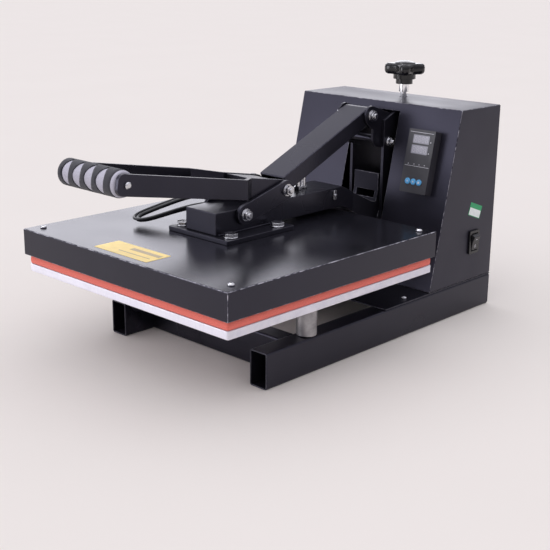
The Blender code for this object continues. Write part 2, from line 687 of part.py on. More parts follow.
def add_grip(press, centre):
    """Foam grip on a core between the bars; its left end is pulled over the left bar."""
    inner = BAR_WIDE - BAR_THICKNESS - GAP
    core = prism(circle(centre, GRIP_CORE_RADIUS, 16), "X", -inner, inner, [circle(centre, 3.4 * MM, 12)])
    press.add("grip_core", core, "zinc_steel", "handle")
    end, edge = GRIP_LEFT_END, 3 * MM
    profile = [(end, GRIP_RADIUS - edge), (end + 0.3 * edge, GRIP_RADIUS - 0.3 * edge),
               (end + edge, GRIP_RADIUS), (inner - GAP - 0.5 * MM, GRIP_RADIUS),
               (inner - GAP, GRIP_RADIUS - 0.5 * MM)]
    foam = press.add("grip_foam", turned(profile, "X", centre, 28), "grip_foam", "handle", True)
    press.drill(foam, "X", centre, GRIP_CORE_RADIUS + GAP, end - 5 * MM, inner + 5 * MM, "handle")
    slot = prism(bar_side_view(GAP), "X", -BAR_WIDE - GAP, -BAR_WIDE + BAR_THICKNESS + GAP)
    press.boolean(foam, slot, "handle")
    seat = BAR_WIDE + GAP
    bolt = [(-seat - 3 * MM, 5 * MM, "hex"), (-seat, 5 * MM, "hex"), (-seat, 3 * MM), (seat, 3 * MM),
            (seat, 5 * MM), (seat + 2 * MM, 4.6 * MM), (seat + 3 * MM, 3 * MM)]
    press.add("grip_bolt", turned(bolt, "X", centre, 12), "zinc_steel", "handle")


# ---------------------------------------------------------------- pressure yoke, frame and knob

def add_yoke(press):
    """Yoke whose cheeks hold the handle hinge and whose rear block rests over the pressure nut.

    The hole round the handle's pivot bolt has slack, because the yoke tips a little about its own
    pivot while the handle's hinge stays where it is.
    """
    lobe = (285 * MM, 268 * MM)
    block_low, block_high, block_rear = 285 * MM, 303 * MM, ROD_Y + 16 * MM
    outline = arc(HANDLE_PIVOT, 15 * MM, 70, 235, 10)
    outline += [(272.5 * MM, 284 * MM)]
    outline += arc(lobe, 12 * MM, 180, 250, 4)
    outline += arc(YOKE_PIVOT, 12 * MM, 260, 370, 6)
    outline += [(332 * MM, block_low), (block_rear, block_low), (block_rear, block_high),
                (322 * MM, block_high), (300 * MM, 310 * MM)]
    yoke = press.add("pressure_yoke", prism(outline, "X", -YOKE_OUTER, YOKE_OUTER), "black_paint", "yoke")
    press.boolean(yoke, box((-YOKE_INNER, 240 * MM, 240 * MM), (YOKE_INNER, 364 * MM, 340 * MM)), "yoke")
    press.drill(yoke, "X", HANDLE_PIVOT, PIN_RADIUS + GAP + YOKE_SLACK, -0.04, 0.04, "yoke")
    press.drill(yoke, "X", YOKE_PIVOT, PIN_RADIUS + GAP, -0.04, 0.04, "yoke")
    press.drill(yoke, "Z", (0, ROD_Y), 8 * MM, 270 * MM, 320 * MM, "yoke")
    pivot_bolt = turned(through_bolt(YOKE_OUTER + GAP), "X", HANDLE_PIVOT, BOLT_STEPS)
    press.add("handle_pivot_bolt", pivot_bolt, "zinc_steel")
    reach = YOKE_INNER - GAP
    press.add("yoke_spacer_bar", turned([(-reach, 6 * MM), (reach, 6 * MM)], "X", lobe, 16),
              "black_paint", "yoke", True)


def add_frame_plates(press):
    floor = HOUSING_BOTTOM
    rear, top = ROD_Y + 24 * MM, 318 * MM
    outline = [(FRAME_PLATE_FRONT, floor), (rear, floor), (rear, top), (345 * MM, top),
               (FRAME_PLATE_FRONT, 297 * MM)]
    holes = [circle(PLATEN_PIVOT, AXLE_RADIUS + GAP, 20), circle(YOKE_PIVOT, PIN_RADIUS + GAP, 16)]
    for side, name in ((1, "right"), (-1, "left")):
        low, high = sorted((side * FRAME_PLATE_INNER, side * FRAME_PLATE_OUTER))
        press.add(f"frame_plate_{name}", prism(outline, "X", low, high, holes), "black_paint")
    end = FRAME_PLATE_OUTER + GAP
    collar, collar_radius = 4 * MM, 11 * MM
    hinge = [(-end - collar, collar_radius), (-end, collar_radius), (-end, AXLE_RADIUS), (end, AXLE_RADIUS),
             (end, collar_radius), (end + collar, collar_radius)]
    press.add("platen_hinge_shaft", turned(hinge, "X", PLATEN_PIVOT, 20), "zinc_steel", "frame", True)
    press.add("yoke_pivot_bolt", turned(through_bolt(end), "X", YOKE_PIVOT, BOLT_STEPS), "zinc_steel")
    inner = FRAME_PLATE_INNER - GAP
    bridge = rectangle((-inner, ROD_Y - 26 * MM), (inner, ROD_Y + 20 * MM))
    press.add("rod_bridge", prism(bridge, "Z", 309 * MM, 317 * MM, [circle((0, ROD_Y), 5.3 * MM, 16)]),
              "black_paint")


def add_knob(press):
    """Threaded rod with a thrust shoulder over the rod bridge, its collar, the star knob and the nut."""
    rod_radius, shoulder = 5 * MM, 7.6 * MM
    rod = [(262 * MM, 4.2 * MM), (263 * MM, rod_radius), (317.3 * MM, rod_radius), (317.3 * MM, shoulder),
           (320 * MM, shoulder), (320 * MM, rod_radius), (HOUSING_TOP + 29 * MM, rod_radius)]
    press.add("pressure_rod", turned(rod, "Z", (0, ROD_Y)), "chrome", "knob", True)
    bore = circle((0, ROD_Y), rod_radius + GAP)
    ring = prism(circle((0, ROD_Y), 8 * MM), "Z", 331 * MM, 343.2 * MM, [bore])
    press.add("rod_collar", ring, "chrome", "knob", True)
    add_star_knob(press)
    nut_low, nut_high = 274 * MM, 284 * MM
    outline = rectangle((-10 * MM, ROD_Y - 10 * MM), (10 * MM, ROD_Y + 10 * MM))
    press.add("pressure_nut", prism(outline, "Z", nut_low, nut_high, [bore]), "zinc_steel", "nut")


def add_star_knob(press):
    """Four-lobed hand knob on a stepped hub, with a low dome on top."""
    centre = (0, ROD_Y)
    hub = turned([(343.5 * MM, 13.6 * MM), (351.5 * MM, 13.6 * MM), (351.5 * MM, 18 * MM),
                  (374 * MM, 18 * MM), (377.6 * MM, 16 * MM), (380 * MM, 7 * MM)],
                 "Z", centre, 24)
    knob = press.add("pressure_knob", hub, "black_plastic", "knob", True)
    press.boolean(knob, loft(star_rings(centre)), "knob", "UNION")
    press.drill(knob, "Z", centre, 5 * MM + GAP, 330 * MM, 354 * MM, "knob")


def star_rings(centre):
    """Plans of the star at rising levels, drawn in at its lower and upper edges to round them."""
    middle, half = 367.5 * MM, 8.5 * MM
    rings = []
    for angle in (-90, -50, -20, 20, 50, 90):
        turn = math.radians(angle)
        inset = KNOB_EDGE * (1 - math.cos(turn))
        rings.append((middle + half * math.sin(turn), star_outline(centre, inset)))
    return rings


def star_outline(centre, inset):
    """Plan of the knob: four round lobes joined by hollow flanks."""
    lobes = 4
    points = []
    reach = KNOB_LOBE_REACH - KNOB_LOBE_RADIUS
    for lobe in range(lobes):
        heading = math.degrees(KNOB_TURN) + 360 / lobes * lobe
        turn = math.radians(heading)
        tip = (centre[0] + reach * math.cos(turn), centre[1] + reach * math.sin(turn))
        points += arc(tip, KNOB_LOBE_RADIUS - inset, heading - 90, heading + 90, 6)
        valley = math.radians(heading + 180 / lobes)
        hollow = KNOB_HOLLOW - 0.5 * inset
        points.append((centre[0] + hollow * math.cos(valley), centre[1] + hollow * math.sin(valley)))
    return points


# ---------------------------------------------------------------- housing and controls

def add_housing(press):
    outer = [(HOUSING_FRONT_LOW, HOUSING_BOTTOM), (REAR, HOUSING_BOTTOM), (REAR, HOUSING_TOP),
             (HOUSING_FRONT_HIGH, HOUSING_TOP)]
    half = BASE_HALF_WIDTH
    shell = press.add("housing_shell", prism(outer, "X", -half, half), "housing_paint")
    soften(shell, 1.5 * MM, 2)
    low, high, rear = HOUSING_BOTTOM - 5 * MM, HOUSING_TOP - SHEET, REAR + 5 * MM
    inner = [(front_line(low) + SHEET, low), (rear, low), (rear, high), (front_line(high) + SHEET, high)]
    press.boolean(shell, prism(inner, "X", -half + SHEET, half - SHEET), "frame")
    slot_low, slot_high = (-SLOT_HALF_WIDTH, 240 * MM, SLOT_BOTTOM), (SLOT_HALF_WIDTH, 335 * MM, SLOT_TOP)
    press.boolean(shell, box(slot_low, slot_high), "frame")
    press.drill(shell, "Z", (0, ROD_Y), 7 * MM, HOUSING_TOP - 10 * MM, HOUSING_TOP + 10 * MM, "frame")
    window_x, window_y = PANEL_WIDTH / 2 - 1.4 * MM, PANEL_HEIGHT / 2 - 1.9 * MM
    press.boolean(shell, box((-window_x, -window_y, -12 * MM), (window_x, window_y, 12 * MM)), "panel")
    switch_low = (150 * MM, SWITCH_Y - 11 * MM, SWITCH_Z - 16 * MM)
    switch_high = (170 * MM, SWITCH_Y + 11 * MM, SWITCH_Z + 16 * MM)
    press.boolean(shell, box(switch_low, switch_high), "frame")
    add_rear_cover(press)


def add_rear_cover(press):
    reach = BASE_HALF_WIDTH - SHEET - GAP
    face = 421 * MM
    outline = rectangle((-reach, HOUSING_BOTTOM), (reach, HOUSING_TOP - SHEET - GAP))
    slots = [rectangle((-50 * MM, z), (50 * MM, z + 4 * MM)) for z in (0.2, 0.212, 0.224, 0.236, 0.248)]
    inlet_x, inlet_z = -100 * MM, 90 * MM
    slots.append(rectangle((inlet_x - 14 * MM, inlet_z - 10 * MM), (inlet_x + 14 * MM, inlet_z + 10 * MM)))
    press.add("rear_cover", prism(outline, "Y", face - SHEET, face, slots), "housing_paint")
    flange = rectangle((inlet_x - 24 * MM, inlet_z - 14 * MM), (inlet_x + 24 * MM, inlet_z + 14 * MM), 4 * MM)
    inlet = press.add("power_inlet", prism(flange, "Y", face + GAP, face + 2.7 * MM), "black_plastic")
    body = rectangle((inlet_x - 13.6 * MM, inlet_z - 9.6 * MM), (inlet_x + 13.6 * MM, inlet_z + 9.6 * MM))
    press.boolean(inlet, prism(body, "Y", face - 22 * MM, face + 1.5 * MM), "frame", "UNION")
    cup = rectangle((inlet_x - 11 * MM, inlet_z - 7 * MM), (inlet_x + 11 * MM, inlet_z + 7 * MM))
    press.boolean(inlet, prism(cup, "Y", face - 14 * MM, face + 8 * MM), "frame")


def add_electrics(press):
    floor = HOUSING_BOTTOM + GAP
    places = {"solid_state_relay": ((-125 * MM, 335 * MM), (-80 * MM, 395 * MM), 24 * MM),
              "terminal_block": ((70 * MM, 300 * MM), (130 * MM, 322 * MM), 18 * MM)}
    for name, (low, high, height) in places.items():
        body = press.add(name, box((*low, floor), (*high, floor + height)), "panel_plastic")
        soften(body, 1 * MM)


def add_controller(press):
    half_x, half_y = PANEL_WIDTH / 2, PANEL_HEIGHT / 2
    case_x, case_y = half_x - 1.8 * MM, half_y - 2.3 * MM
    case = press.add("controller_case", box((-case_x, -case_y, -75 * MM), (case_x, case_y, 0)),
                     "black_plastic", "panel")
    soften(case, 1 * MM)
    frame = rectangle((-half_x, -half_y), (half_x, half_y), 1.5 * MM)
    bezel = press.add("controller_bezel", prism(frame, "Z", GAP, BEZEL_DEPTH), "panel_plastic", "panel")
    well = 5 * MM
    for name, x in BUTTON_PLACES.items():
        place = (x, BUTTON_ROW)
        press.drill(bezel, "Z", place, BUTTON_RADIUS + GAP, well, BEZEL_DEPTH + 5 * MM, "panel", 20)
        cap = [(well + 1.4 * MM, BUTTON_RADIUS), (BEZEL_DEPTH + 0.7 * MM, BUTTON_RADIUS),
               (BEZEL_DEPTH + 1.3 * MM, BUTTON_RADIUS - 0.8 * MM)]
        press.add(f"controller_button_{name}", turned(cap, "Z", place, 20), "button_blue", "panel", True)


def add_power_switch(press):
    """Rocker switch in the right-hand side; the rocker tips about a level pin along Y."""
    wall = BASE_HALF_WIDTH
    low, high = (SWITCH_Y - 13 * MM, SWITCH_Z - 18.5 * MM), (SWITCH_Y + 13 * MM, SWITCH_Z + 18.5 * MM)
    body = press.add("switch_frame", prism(rectangle(low, high, 2 * MM), "X", wall + GAP, wall + 3.3 * MM),
                     "black_plastic")
    back_low = (SWITCH_Y - 10.7 * MM, SWITCH_Z - 15.7 * MM)
    back_high = (SWITCH_Y + 10.7 * MM, SWITCH_Z + 15.7 * MM)
    back = rectangle(back_low, back_high)
    press.boolean(body, prism(back, "X", wall - 28 * MM, wall + 2 * MM), "frame", "UNION")
    pocket = rectangle((SWITCH_Y - 8.6 * MM, SWITCH_Z - 14 * MM), (SWITCH_Y + 8.6 * MM, SWITCH_Z + 14 * MM))
    press.boolean(body, prism(pocket, "X", wall - 17 * MM, wall + 10 * MM), "frame")
    pivot, reach = (SWITCH_PIVOT_X, SWITCH_Z), 13.4 * MM
    outline = arc(pivot, reach, 42, 100, 6) + arc(pivot, reach, 230, 292, 6)
    outline += [(SWITCH_PIVOT_X + 6.4 * MM, SWITCH_Z)]
    rocker = prism(outline, "Y", SWITCH_Y - 8.2 * MM, SWITCH_Y + 8.2 * MM)
    press.add("switch_rocker", rocker, "black_plastic", "rocker")


# ---------------------------------------------------------------- heater lead

def add_lead(press):
    """Heater lead: up out of the gland, a loop over the cover, then back beside the beam."""
    gland_top = COVER_TOP + GAP + 9 * MM + GAP
    route = [(*LEAD_EXIT, gland_top + rise * MM) for rise in (0, 4, 8)]
    route += [(x * MM, y * MM, z * MM) for x, y, z in LEAD_ROUTE]
    points = smooth_points([Vector(point) for point in route], 5)
    curve = bpy.data.curves.new("heater_lead", "CURVE")
    curve.dimensions = "3D"
    curve.bevel_depth = LEAD_RADIUS
    curve.bevel_resolution = 2
    curve.use_fill_caps = True
    spline = curve.splines.new("POLY")
    spline.points.add(len(points) - 1)
    owner = press.pivots["platen"]
    into_pivot = machine_matrix(owner).inverted()
    for target, point in zip(spline.points, points):
        target.co = (*(into_pivot @ point), 1)
    curve.materials.append(press.materials["lead_jacket"])
    lead = bpy.data.objects.new("heater_lead", curve)
    bpy.context.scene.collection.objects.link(lead)
    lead.parent = owner


def smooth_points(route, steps):
    """A Catmull-Rom curve through the route's points."""
    ends = [route[0] * 2 - route[1], *route, route[-1] * 2 - route[-2]]
    points = []
    for a, b, c, d in zip(ends, ends[1:], ends[2:], ends[3:]):
        for step in range(steps):
            t = step / steps
            points.append(0.5 * (2 * b + (c - a) * t + (2 * a - 5 * b + 4 * c - d) * t * t
                                 + (3 * b - a - 3 * c + d) * t ** 3))
    points.append(route[-1])
    return points


def build_press():
    clear_scene()
    press = Press()
    add_base(press)
    add_lower_platen(press)
    add_upper_platen(press)
    add_links(press)
    add_handle(press)
    add_yoke(press)
    add_frame_plates(press)
    add_knob(press)
    add_housing(press)
    add_electrics(press)
    add_controller(press)
    add_power_switch(press)
    add_lead(press)


build_press()
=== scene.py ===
"""Looks for the flat clamshell heat press: finished metal, foam grip, pad, heater lead and small details."""

import json
import math

import bmesh
import bpy
from mathutils import Matrix, Vector, noise


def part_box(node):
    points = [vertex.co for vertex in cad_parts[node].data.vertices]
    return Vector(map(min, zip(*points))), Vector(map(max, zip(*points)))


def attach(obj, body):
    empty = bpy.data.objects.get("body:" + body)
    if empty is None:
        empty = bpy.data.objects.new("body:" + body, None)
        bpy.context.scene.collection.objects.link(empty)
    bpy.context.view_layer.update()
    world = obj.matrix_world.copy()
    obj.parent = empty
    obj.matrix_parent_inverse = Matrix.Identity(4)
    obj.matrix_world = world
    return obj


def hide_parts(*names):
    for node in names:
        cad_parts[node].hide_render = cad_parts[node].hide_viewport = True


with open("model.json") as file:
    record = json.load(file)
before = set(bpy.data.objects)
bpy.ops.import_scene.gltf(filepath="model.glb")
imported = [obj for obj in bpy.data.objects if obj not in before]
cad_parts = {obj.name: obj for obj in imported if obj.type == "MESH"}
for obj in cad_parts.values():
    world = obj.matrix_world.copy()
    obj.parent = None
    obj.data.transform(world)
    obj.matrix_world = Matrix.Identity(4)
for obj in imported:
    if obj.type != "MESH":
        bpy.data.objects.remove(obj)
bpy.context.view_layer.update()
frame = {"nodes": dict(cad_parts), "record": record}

MM = 0.001
MIDDLE = 89.25 * MM  # machine Y = 0 is this far behind the middle of the footprint


def machine(x, y, z):
    """Machine millimetres, with Y = 0 at the middle of the lower platen, as a point in the shared frame."""
    return Vector((x * MM, y * MM - MIDDLE, z * MM))


BODY_OF = {node: body for body, nodes in frame["record"]["behaviour"]["bodies"].items() for node in nodes}
SLOT_OF = {part["node"]: part["material_slot"] for part in frame["record"]["subparts"]}


# ---------------------------------------------------------------- material building blocks

class Surface:
    """One Principled material with helpers for its procedural inputs."""

    def __init__(self, name, roughness, metallic=0.0):
        self.material = bpy.data.materials.new(name)
        self.material.use_nodes = True
        self.tree = self.material.node_tree
        self.tree.nodes.clear()
        output = self.tree.nodes.new("ShaderNodeOutputMaterial")
        self.shader = self.tree.nodes.new("ShaderNodeBsdfPrincipled")
        self.tree.links.new(self.shader.outputs["BSDF"], output.inputs["Surface"])
        self.shader.inputs["Roughness"].default_value = roughness
        self.shader.inputs["Metallic"].default_value = metallic
        self.coordinates = self.tree.nodes.new("ShaderNodeTexCoord").outputs["Object"]

    def add(self, kind, links=(), **settings):
        node = self.tree.nodes.new(kind)
        for key, value in settings.items():
            setattr(node, key, value)
        for socket, source in links:
            self.tree.links.new(source, node.inputs[socket])
        return node

    def noise(self, scale, detail=3.0, roughness=0.5, stretch=(1, 1, 1)):
        mapping = self.add("ShaderNodeMapping", [("Vector", self.coordinates)])
        mapping.inputs["Scale"].default_value = stretch
        texture = self.add("ShaderNodeTexNoise", [("Vector", mapping.outputs["Vector"])])
        texture.inputs["Scale"].default_value = scale
        texture.inputs["Detail"].default_value = detail
        texture.inputs["Roughness"].default_value = roughness
        return texture.outputs["Fac"]

    def cells(self, scale):
        texture = self.add("ShaderNodeTexVoronoi", [("Vector", self.coordinates)])
        texture.inputs["Scale"].default_value = scale
        return texture.outputs["Distance"]

    def ramp(self, source, low, high, first, last):
        """A colour between two ends of a value's range."""
        node = self.add("ShaderNodeValToRGB", [("Fac", source)])
        node.color_ramp.elements[0].position = low
        node.color_ramp.elements[0].color = (*first, 1)
        node.color_ramp.elements[1].position = high
        node.color_ramp.elements[1].color = (*last, 1)
        return node.outputs["Color"]

    def spread(self, source, low, high, first, last):
        """A number between two ends of a value's range."""
        node = self.add("ShaderNodeMapRange", [("Value", source)])
        for socket, value in (("From Min", low), ("From Max", high), ("To Min", first), ("To Max", last)):
            node.inputs[socket].default_value = value
        return node.outputs["Result"]

    def mix(self, factor, first, last):
        """Two colours mixed; the node's colour sockets are inputs 6 and 7 and output 2."""
        node = self.add("ShaderNodeMix", [(0, factor), (6, first), (7, last)], data_type="RGBA")
        return node.outputs[2]

    def colour(self, source):
        self.tree.links.new(source, self.shader.inputs["Base Color"])

    def roughness(self, source):
        self.tree.links.new(source, self.shader.inputs["Roughness"])

    def bump(self, *layers):
        """Bumps laid on each other: (height, strength, distance in metres)."""
        normal = None
        for height, strength, distance in layers:
            node = self.add("ShaderNodeBump", [("Height", height)])
            node.inputs["Strength"].default_value = strength
            node.inputs["Distance"].default_value = distance
            if normal:
                self.tree.links.new(normal, node.inputs["Normal"])
            normal = node.outputs["Normal"]
        self.tree.links.new(normal, self.shader.inputs["Normal"])


def shade(colour, factor):
    return tuple(channel * factor for channel in colour)


PAINT_SHEEN = (0.72, 0.70, 0.96, 1.0)
# Edge colours, used for paint wear and, lighter, for painted highlight lines on edges.
WEAR_AND_HIGHLIGHT_DARK, WEAR_AND_HIGHLIGHT_LIGHT = (0.31, 0.305, 0.35), (1.0, 0.98, 1.06)


def paint(name, colour, roughness, peel, wear_and_highlight_share=0.0, wear_and_highlight_tone=0.16):
    """Powder coat: orange peel, slight cloudiness and handling marks; on edges a wear colour, which with a
    light tone and a high share is a painted highlight.
    """
    made = Surface(name, roughness)
    made.shader.inputs["Specular Tint"].default_value = PAINT_SHEEN
    cloud = made.ramp(made.noise(14, 4), 0.35, 0.68, shade(colour, 0.82), shade(colour, 1.25))
    if wear_and_highlight_share:
        wear_and_highlight_colour = made.ramp(made.noise(90, 2), 0.3, 0.7, shade(WEAR_AND_HIGHLIGHT_DARK, wear_and_highlight_tone), shade(WEAR_AND_HIGHLIGHT_LIGHT, wear_and_highlight_tone))
        made.colour(made.mix(made.spread(made.noise(170, 3, 0.6), 0.4, 0.62, 0.0, wear_and_highlight_share), cloud, wear_and_highlight_colour))
    else:
        made.colour(cloud)
    smear = made.noise(7, 2, 0.5, (1, 1.6, 1))
    made.roughness(made.spread(smear, 0.3, 0.7, roughness * 0.88, roughness * 1.15))
    made.bump((made.noise(620, 2), peel, 0.00012), (made.noise(160, 1), peel * 0.5, 0.0002))
    return made.material


def metal(name, colour, roughness, grain=(1, 1, 1), tarnish=0.8, marks=0.12):
    """Bare or plated metal: drawn or cast grain, a little tarnish and fine marks."""
    made = Surface(name, roughness, 1.0)
    made.colour(made.ramp(made.noise(38, 5, 0.6), 0.3, 0.72, shade(colour, tarnish), colour))
    made.roughness(made.spread(made.noise(120, 3, 0.5, grain), 0.3, 0.7, roughness * 0.75, roughness * 1.35))
    made.bump((made.noise(900, 3, 0.6, grain), marks, 0.0001))
    return made.material


def plastic(name, colour, roughness, grain=0.08):
    """Moulded plastic with a fine spark grain."""
    made = Surface(name, roughness)
    made.colour(made.ramp(made.noise(30, 3), 0.3, 0.7, shade(colour, 0.9), shade(colour, 1.1)))
    made.roughness(made.spread(made.noise(45, 4), 0.3, 0.7, roughness * 0.85, roughness * 1.2))
    made.bump((made.cells(1500), grain, 0.00008))
    return made.material


def foam(name, colour, pore_scale, depth):
    """Open foam or sponge with pores."""
    made = Surface(name, 0.93)
    made.shader.inputs["Sheen Weight"].default_value = 0.15
    pores = made.cells(pore_scale)
    # The colour darkens towards each pore's middle, where the bump sinks: painted shade in the pores.
    made.colour(made.ramp(pores, 0.1, 0.55, shade(colour, 0.72), shade(colour, 1.08)))
    made.bump((pores, depth, 0.0004), (made.noise(60, 3), 0.25, 0.0008))
    return made.material


def sticker(name, colour):
    """Printed film or marking ink."""
    made = Surface(name, 0.42)
    made.colour(made.ramp(made.noise(75, 4), 0.25, 0.75, shade(colour, 0.9), shade(colour, 1.04)))
    made.bump((made.noise(300, 2), 0.08, 0.0002))
    return made.material


MATERIALS = {
    "black_paint": paint("gloss_powder_coat", (0.0075, 0.0072, 0.0100), 0.29, 0.10),
    "cover_paint": paint("cover_gloss_paint", (0.0070, 0.0068, 0.0092), 0.235, 0.05),
    "housing_paint": paint("satin_powder_coat", (0.0105, 0.0100, 0.0145), 0.38, 0.14),
    "rubbed_paint": paint("rubbed_edge_paint", (0.0150, 0.0145, 0.0190), 0.36, 0.10, 0.42),
    # Darker than the other black paint, as painted shade on the hinge arm's tail in the slot; its high
    # roughness is the arm's matt finish.
    "arm_paint_painted_shade": paint("matt_black_paint_with_painted_shade", (0.0055, 0.0053, 0.0068), 0.62, 0.10),
    # Painted highlight: light, speckled paint on the rounded edges of the cover, housing and hinge arm,
    # standing in for the highlight lines along those edges.
    "painted_highlight_edge": paint("painted_highlight_sheet_edge", (0.0150, 0.0145, 0.0190), 0.30, 0.10, 0.9, 0.60),
    "machined_aluminium": metal("milled_aluminium", (0.80, 0.79, 0.84), 0.42, (1, 8, 8), 0.9),
    "platen_aluminium": metal("platen_aluminium", (0.84, 0.83, 0.90), 0.55, (6, 1, 1), 0.93, 0.06),
    "cast_post": metal("turned_post_aluminium", (0.50, 0.485, 0.50), 0.42, (1, 1, 5), 0.5, 0.8),
    "zinc_steel": metal("zinc_plated_steel", (0.80, 0.80, 0.83), 0.21, (1, 1, 1), 0.62, 0.18),
    "chrome": metal("polished_chrome", (0.86, 0.86, 0.88), 0.12, (1, 1, 1), 0.9, 0.05),
    "silicone": foam("salmon_silicone_sponge", (0.76, 0.165, 0.125), 1400, 0.18),
    "fibre": foam("fibre_blanket", (0.80, 0.77, 0.70), 700, 0.5),
    "grip_foam": foam("dark_grip_foam", (0.030, 0.030, 0.037), 1500, 0.35),
    "grip_light": foam("light_grip_foam", (0.40, 0.39, 0.45), 1500, 0.35),
    "black_plastic": plastic("black_moulded_plastic", (0.0055, 0.0053, 0.0068), 0.15, 0.04),
    "panel_plastic": plastic("panel_plastic", (0.030, 0.029, 0.036), 0.38),
    "rocker_plastic": plastic("rocker_plastic", (0.010, 0.010, 0.012), 0.34),
    "button_blue": plastic("blue_button_plastic", (0.09, 0.36, 0.66), 0.40),
    "window": plastic("display_window", (0.25, 0.245, 0.29), 0.22, 0.02),
    "segment": plastic("display_segment", (0.42, 0.415, 0.46), 0.30, 0.02),
    "marking": sticker("white_marking_ink", (0.62, 0.61, 0.66)),
    "yellow_label": sticker("plain_yellow_label", (0.78, 0.57, 0.14)),
    "label_bar": sticker("plain_label_bar", (0.36, 0.27, 0.13)),
    "green_label": sticker("plain_green_label", (0.012, 0.33, 0.12)),
    "white_label": sticker("plain_white_label", (0.82, 0.86, 0.85)),
    "lead_jacket": plastic("rubber_lead_jacket", (0.010, 0.010, 0.012), 0.40, 0.2),
    "brass": metal("inlet_pin_brass", (0.80, 0.66, 0.36), 0.25),
}


# ---------------------------------------------------------------- mesh building blocks

def object_from(name, bm, material, smooth=True):
    """A new object that takes over a bmesh."""
    bmesh.ops.recalc_face_normals(bm, faces=bm.faces[:])
    mesh = bpy.data.meshes.new(name)
    bm.to_mesh(mesh)
    bm.free()
    for polygon in mesh.polygons:
        polygon.use_smooth = smooth
    mesh.materials.append(MATERIALS[material])
    piece = bpy.data.objects.new(name, mesh)
    bpy.context.scene.collection.objects.link(piece)
    return piece


# Each coat's paint on its rounded edges: wear on the black paint, and a painted highlight on the arm, cover
# and housing paint.
EDGE_OF = {MATERIALS[face]: MATERIALS[edge] for face, edge in (
    ("black_paint", "rubbed_paint"), ("arm_paint_painted_shade", "painted_highlight_edge"), ("cover_paint", "painted_highlight_edge"),
    ("housing_paint", "painted_highlight_edge"))}
SHARPEST_KEPT = math.radians(32)


def round_edges(piece, width):
    """Rounds every edge that turns more than SHARPEST_KEPT; on painted pieces the rounding gets paint wear,
    and on the cover, housing and hinge arm a painted highlight.
    """
    bevel = piece.modifiers.new("rounded_edges", "BEVEL")
    bevel.width = width
    bevel.segments = 2
    bevel.limit_method = "ANGLE"
    bevel.angle_limit = SHARPEST_KEPT
    if piece.data.materials[0] in EDGE_OF:
        piece.data.materials.append(EDGE_OF[piece.data.materials[0]])
        bevel.material = 1
    normals = piece.modifiers.new("even_normals", "WEIGHTED_NORMAL")
    normals.keep_sharp = True
    return piece


def settle(piece, body, replaced=()):
    """Puts a piece on its body and hides the CAD nodes that it stands in for."""
    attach(piece, body)
    if replaced:
        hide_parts(*replaced)
    return piece


def refine(node, width, material=None):
    """The node's own shape with the rounded edges of bent, sawn or moulded stock."""
    bm = bmesh.new()
    bm.from_mesh(frame["nodes"][node].data)
    bmesh.ops.remove_doubles(bm, verts=bm.verts[:], dist=1e-6)
    bmesh.ops.dissolve_limit(bm, angle_limit=math.radians(0.6), verts=bm.verts[:], edges=bm.edges[:])
    piece = object_from(f"{node}_finished", bm, material or SLOT_OF[node])
    round_edges(piece, width)
    return settle(piece, BODY_OF[node], [node])


def frame_on(origin, right, up):
    """A matrix whose local X, Y and Z run along right, up and out of a face."""
    right = Vector(right).normalized()
    out = right.cross(Vector(up)).normalized()
    up = out.cross(right)
    return Matrix.Translation(Vector(origin)) @ Matrix((right, up, out)).transposed().to_4x4()


def skin(bm, rings):
    """Faces between each ring of vertices and the next."""
    for lower, upper in zip(rings, rings[1:]):
        for step in range(len(lower)):
            after = (step + 1) % len(lower)
            bm.faces.new((lower[step], lower[after], upper[after], upper[step]))


def skin_closed(bm, rings):
    """A skin over the rings with both of its ends filled."""
    skin(bm, rings)
    bm.faces.new(rings[0][::-1])
    bm.faces.new(rings[-1])


def slab(bm, outline, low, high, place):
    """A closed slab from a flat outline, between two heights."""
    skin_closed(bm, [[bm.verts.new(place @ Vector((x, y, z))) for x, y in outline] for z in (low, high)])


def disc(radius, steps):
    return [(radius * math.cos(2 * math.pi * step / steps), radius * math.sin(2 * math.pi * step / steps))
            for step in range(steps)]


def turned(bm, profile, place, steps=24):
    """A closed turned shape about local Z from (height, radius) rings."""
    skin_closed(bm, [[bm.verts.new(place @ Vector((x, y, height))) for x, y in disc(radius, steps)]
                     for height, radius in profile])


def round_rectangle(width, height, radius, steps=4, centre=(0, 0)):
    """The outline of a rectangle with rounded corners."""
    points = []
    for sign_x, sign_y, start in ((1, 1, 0), (-1, 1, 90), (-1, -1, 180), (1, -1, 270)):
        x = centre[0] + sign_x * (width / 2 - radius)
        y = centre[1] + sign_y * (height / 2 - radius)
        for step in range(steps + 1):
            angle = math.radians(start + 90 * step / steps)
            points.append((x + radius * math.cos(angle), y + radius * math.sin(angle)))
    return points


BEAD_STEP = 1.6 * MM


def bead(name, route, radius, body, seed):
    """A hand-laid weld bead: a lumpy tube along a route, closed at both ends."""
    bm = bmesh.new()
    points = []
    for start, end in zip(route, route[1:]):
        count = max(2, int((end - start).length / BEAD_STEP))
        points += [start.lerp(end, step / count) for step in range(count)]
    points.append(route[-1])
    rings = []
    for index, point in enumerate(points):
        ahead = points[min(index + 1, len(points) - 1)] - points[max(index - 1, 0)]
        turn = ahead.to_track_quat("Z", "X")
        ripple = 0.85 + 0.15 * math.sin(index * 2.1) + 0.22 * noise.noise(Vector((index * 0.45, seed, 0)))
        size = radius * ripple * (0.35 if index in (0, len(points) - 1) else 1.0)
        rings.append([bm.verts.new(point + turn @ Vector((size * math.cos(a), size * math.sin(a), 0)))
                      for a in (step * math.pi / 4 for step in range(8))])
    skin_closed(bm, rings)
    return settle(object_from(name, bm, "black_paint"), body)


# ---------------------------------------------------------------- metal and plastic pieces

